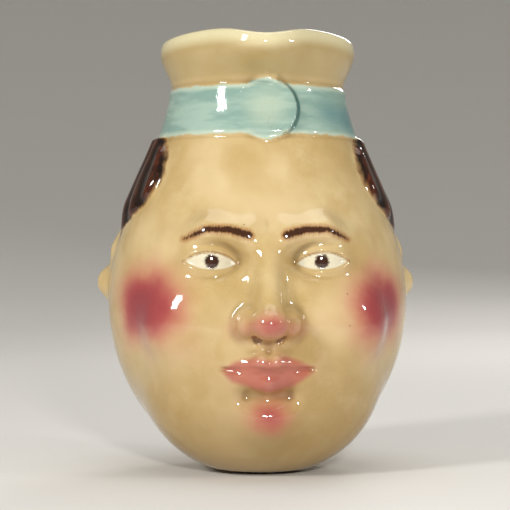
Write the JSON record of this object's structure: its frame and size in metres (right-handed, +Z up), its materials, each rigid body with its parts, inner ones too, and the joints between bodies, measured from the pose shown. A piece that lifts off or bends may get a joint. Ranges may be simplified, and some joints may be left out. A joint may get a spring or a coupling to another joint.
{
  "type": "head pitcher",
  "caption": "Glazed earthenware pitcher in the form of a head, with an egg-shaped belly, a headband round the neck, a flared lip with a spout and a strap handle at the back.",
  "frame": {"origin": "middle of the flat seat under the foot, on the table", "axes": "+Z up through the mouth of the jug, -Y the way the face looks, +X to the right of a person looking at the face"},
  "size_m": [0.1498, 0.1721, 0.1997],
  "materials": {
    "glaze": "glossy clear lead glaze over buff clay with painted colours"
  },
  "bodies": {
    "root": {"pitcher": "glaze"}
  },
  "joints": []
}
